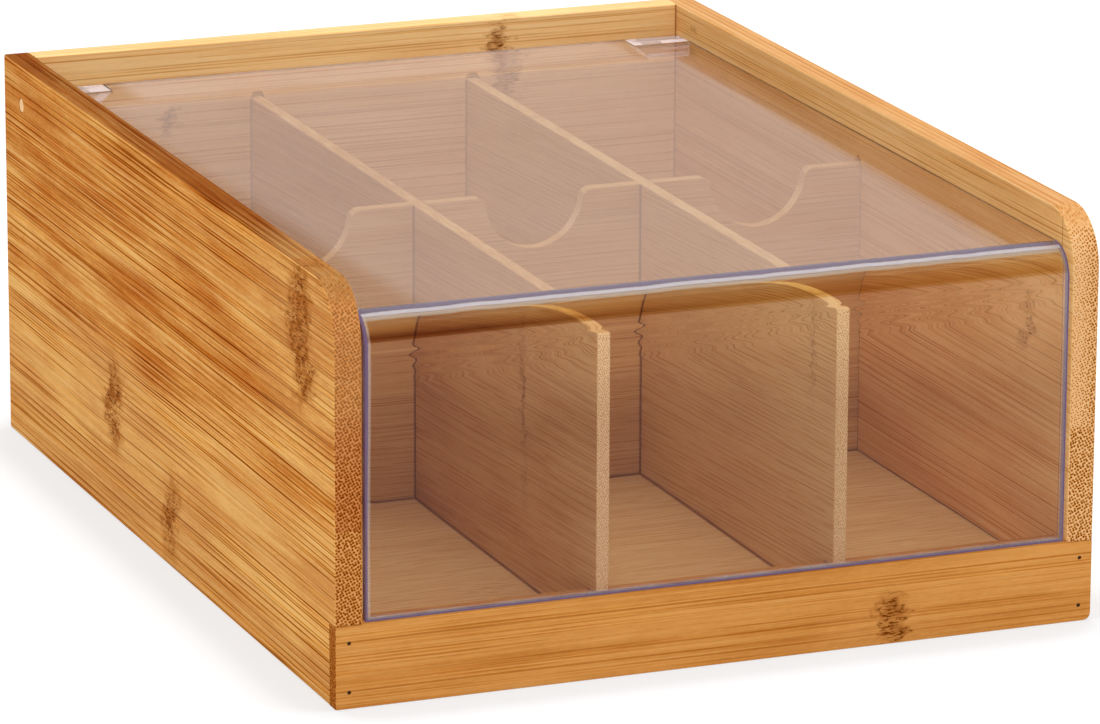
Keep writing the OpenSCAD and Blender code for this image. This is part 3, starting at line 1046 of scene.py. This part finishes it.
class TEABOX_OT_lid_sheet(bpy.types.Operator):
    """Make the lid: one clear sheet bent along the front top, with its rear corners cut out"""

    bl_idname = "teabox.lid_sheet"
    bl_label = "Lid"

    def execute(self, context):
        s = sizes()
        lo, hi = LID_LO, LID_HI
        centre = (lo.y + s.bend_radius, hi.z - s.bend_radius)
        outer = arc(centre, s.bend_radius, 90, 180, 20)
        inner = arc(centre, s.bend_radius - s.sheet, 180, 90, 20)
        ripples = []
        for i in range(1, RIPPLE_STEPS + 1):
            down = i * RIPPLE_STEP
            dent = s.bend_ripple * math.exp(-down / RIPPLE_FADE)
            dent *= (1 - math.cos(math.tau * down / RIPPLE_LENGTH)) / 2
            ripples.append((lo.y + dent, centre[1] - down))
        section = [
            (hi.y, hi.z), *outer, *ripples, (lo.y, lo.z), (lo.y + s.sheet, lo.z), *inner,
            (hi.y, hi.z - s.sheet),
        ]
        bm = slab(section, X, lo.x, hi.x)
        ease(bm, s.sheet_ease, 2)
        self.wave(bm, s, centre)
        corner = (
            (BLOCK_LO.x - LET_IN_FIT, BLOCK_LO.y - LET_IN_FIT, hi.z - s.sheet - OVER),
            (BLOCK_HI.x + OVER, BLOCK_HI.y + OVER, hi.z + OVER),
        )
        sheet = cut(bm, [brick(*corner), mirrored(brick(*corner))])
        set_in_place("lid_sheet", sheet, lid_acrylic(), "lid", "lid")
        return {"FINISHED"}

    def wave(self, bm, s, centre):
        """Lets the heated bend wander inwards a little, as a bend made over a hot wire does."""
        spans = [e for e in bm.edges if abs(e.verts[0].co.x - e.verts[1].co.x) > LID_HI.x]
        bmesh.ops.subdivide_edges(bm, edges=spans, cuts=WAVE_CUTS, use_grid_fill=True)
        for vert in bm.verts:
            out = Vector((vert.co.y - centre[0], vert.co.z - centre[1]))
            if out.length < OVER or abs(vert.co.x) > LID_HI.x - OVER:
                continue
            near_bend = max(0.0, 1.0 - max(out[0], -out[1], 0.0) / WAVE_REACH)
            # Two waves along the bend, from -1.6 to 1.6, shifted to lie between -1 and 0
            sway = math.sin(vert.co.x * 61.0 + 0.8) + 0.6 * math.sin(vert.co.x * 143.0 + 2.1)
            out = out.normalized() * s.bend_wave * near_bend * (sway - 1.6) / 3.2
            vert.co.y += out[0]
            vert.co.z += out[1]


class TEABOX_OT_hinge_blocks(bpy.types.Operator):
    """Make the two clear hinge blocks, bevelled and bored for the pins"""

    bl_idname = "teabox.hinge_blocks"
    bl_label = "Hinge Blocks"

    def execute(self, context):
        finish = block_acrylic()
        set_both("clear_block", self.block, (finish, finish), "hinge_block", "lid")
        return {"FINISHED"}

    def block(self, s):
        """The right block."""
        lo, hi = BLOCK_LO, BLOCK_HI
        under = hi.z - s.sheet
        outline = [(hi.x, hi.z), (lo.x, hi.z), (lo.x, under), (lo.x + s.block_bevel, lo.z), (hi.x, lo.z)]
        bm = slab(outline, Y, lo.y, hi.y)
        ease(bm, s.sheet_ease * 3, 2)
        return cut(bm, [rod(X, PIN_LO.x - OVER / 2, hi.x + OVER, PIN_Y, PIN_Z, PIN_R + s.bore_gap, 48)])


class TEABOX_OT_pin_plugs(bpy.types.Operator):
    """Make the round plugs that close the pins' holes"""

    bl_idname = "teabox.pin_plugs"
    bl_label = "Pin Plugs"

    def execute(self, context):
        finish = inner_bamboo("Biscuit bamboo, plugs", X, Y, seed=401.0, pitch=0.5, bundles=0.7)
        set_both("plug", self.plug, (finish, finish), "pin_plug", "carcass")
        return {"FINISHED"}

    def plug(self, s):
        """The right plug."""
        bm = rod(X, PLUG_LO.x, PLUG_HI.x, PLUG_Y, PLUG_Z, PLUG_R, 40)
        ease(bm, s.joint_ease * 1.5, 2)
        return bm


class TEABOX_OT_pins_and_brads(bpy.types.Operator):
    """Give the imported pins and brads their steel"""

    bl_idname = "teabox.pins_and_brads"
    bl_label = "Pins and Brads"

    def execute(self, context):
        bright = steel_wire("Drawn steel wire", colours().steel)
        # The brads' dark wire is painted shade, for the shade in their sunk holes
        dark = steel_wire("Dark brad wire", colours().brad)
        for node, finish in (
            ("left_hinge_pin", bright), ("right_hinge_pin", bright), ("front_rail_brads", dark),
        ):
            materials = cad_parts[node].data.materials
            materials.clear()
            materials.append(finish)
        return {"FINISHED"}


class TEABOX_OT_stage(bpy.types.Operator):
    """Set up the camera, the white floor, the sky and the lamps"""

    bl_idname = "teabox.stage"
    bl_label = "Stage"

    def execute(self, context):
        scene = context.scene
        scene.view_settings.view_transform = "Standard"
        self.camera(scene)
        self.floor()
        self.sky(scene)
        self.lamp(scene, "Front lamp", (-1.5, -2.2, 1.9), 1.6, 24.0)
        self.lamp(scene, "Top lamp", (0.3, 0.1, 2.4), 2.0, 29.5)
        self.lamp(scene, "Right lamp", (2.2, -1.4, 1.2), 1.6, 8.0)
        return {"FINISHED"}

    def camera(self, scene):
        """A long lens, in front of the box, to its left and above it."""
        lens = bpy.data.cameras.new("Camera")
        lens.sensor_width = 36.0
        lens.lens = 223.9
        lens.clip_start = 0.1
        lens.clip_end = 60.0
        camera = bpy.data.objects.new("Camera", lens)
        camera.location = (-0.71972, -1.82945, 0.59935)
        yaw, pitch, roll = 0.3784, -0.2730, 0.0040
        turn = Matrix.Rotation(-yaw, 3, "Z") @ Matrix.Rotation(math.pi / 2 + pitch, 3, "X")
        camera.rotation_euler = (turn @ Matrix.Rotation(roll, 3, "Z")).to_euler()
        scene.collection.objects.link(camera)
        scene.camera = camera

    def floor(self):
        """A floor that is white to look at, plain to the lamps, and darker close round the box."""
        bm = bmesh.new()
        bmesh.ops.create_grid(bm, x_segments=1, y_segments=1, size=8.0)
        bmesh.ops.translate(bm, verts=bm.verts, vec=(0, 0, -0.05 * MM))
        floor = raw_object("stage_floor", bm)
        paint = material("White floor")
        plain = paint.node("BsdfDiffuse", Color=(0.8, 0.8, 0.8, 1.0))
        shaded = paint.node("BsdfDiffuse", Color=(0.2, 0.2, 0.2, 1.0))
        near = paint.node("AmbientOcclusion", {"samples": 32}, Distance=26 * MM).outputs["AO"]
        shadow = (1.0 - Number(paint, near)) * 0.8
        glow = (1.0 - paint.math("MINIMUM", shadow, 0.22)) * 0.88
        white = paint.node("Emission", Color=(1.0, 1.0, 1.0, 1.0), Strength=glow)
        seen = paint.node("AddShader")
        paint.feed(seen.inputs[0], shaded.outputs[0])
        paint.feed(seen.inputs[1], white.outputs[0])
        rays = paint.node("LightPath").outputs
        looking = paint.most(rays["Is Camera Ray"], rays["Is Glossy Ray"], rays["Is Transmission Ray"])
        floor.data.materials.append(paint.surface(paint.mix(looking, plain, seen)))

    def sky(self, scene):
        """White low down and overhead, with a warm ring and a grey one that gloss picks up."""
        white, warm, grey = (1.0, 1.0, 1.0), (0.62, 0.44, 0.31), (0.60, 0.60, 0.62)
        paint = Finish(bpy.data.worlds.new("Sky"), "OutputWorld")
        height = paint.split(paint.node("TexCoord").outputs["Generated"])[Z]
        rings = paint.ramp(height, (0.12, white), (1.0, white), (0.20, warm), (0.36, warm), (0.52, grey))
        scene.world = paint.surface(paint.node("Background", Color=rings))

    def lamp(self, scene, name, place, size, power):
        """A square lamp that shines on the middle of the box and that gloss doesn't show."""
        light = bpy.data.lights.new(name, "AREA")
        light.shape = "SQUARE"
        light.size = size
        light.energy = power
        lamp = bpy.data.objects.new(name, light)
        lamp.location = place
        aim = Vector((0.0, 0.0, SIDE_HI.z / 2)) - Vector(place)
        lamp.rotation_euler = aim.to_track_quat("-Z", "Y").to_euler()
        lamp.visible_glossy = False
        scene.collection.objects.link(lamp)


OPERATORS = (
    TEABOX_OT_side_boards,
    TEABOX_OT_back_board,
    TEABOX_OT_rail,
    TEABOX_OT_floor_board,
    TEABOX_OT_long_dividers,
    TEABOX_OT_cross_divider,
    TEABOX_OT_lid_sheet,
    TEABOX_OT_hinge_blocks,
    TEABOX_OT_pin_plugs,
    TEABOX_OT_pins_and_brads,
    TEABOX_OT_stage,
)


class TEABOX_PT_panel(bpy.types.Panel):
    """Lists the box's sizes and colours and the operators that build it"""

    bl_idname = "TEABOX_PT_panel"
    bl_label = "Tea Box"
    bl_space_type = "VIEW_3D"
    bl_region_type = "UI"
    bl_category = "Tea Box"

    def draw(self, context):
        column = self.layout.column(align=True)
        for operator in OPERATORS:
            column.operator(operator.bl_idname)
        for group in (context.scene.tea_box_sizes, context.scene.tea_box_colours):
            column.separator()
            for key in type(group).__annotations__:
                column.prop(group, key)


CLASSES = (TeaBoxSizes, TeaBoxColours, *OPERATORS, TEABOX_PT_panel)


def register():
    """Adds the box's properties, operators and panel."""
    for made in CLASSES:
        bpy.utils.register_class(made)
    bpy.types.Scene.tea_box_sizes = PointerProperty(type=TeaBoxSizes)
    bpy.types.Scene.tea_box_colours = PointerProperty(type=TeaBoxColours)


def unregister():
    """Takes them away again."""
    del bpy.types.Scene.tea_box_colours
    del bpy.types.Scene.tea_box_sizes
    for made in reversed(CLASSES):
        bpy.utils.unregister_class(made)


def main():
    """Builds the box piece by piece."""
    register()
    for operator in OPERATORS:
        group, name = operator.bl_idname.split(".")
        getattr(getattr(bpy.ops, group), name)()


if __name__ == "__main__":
    main()
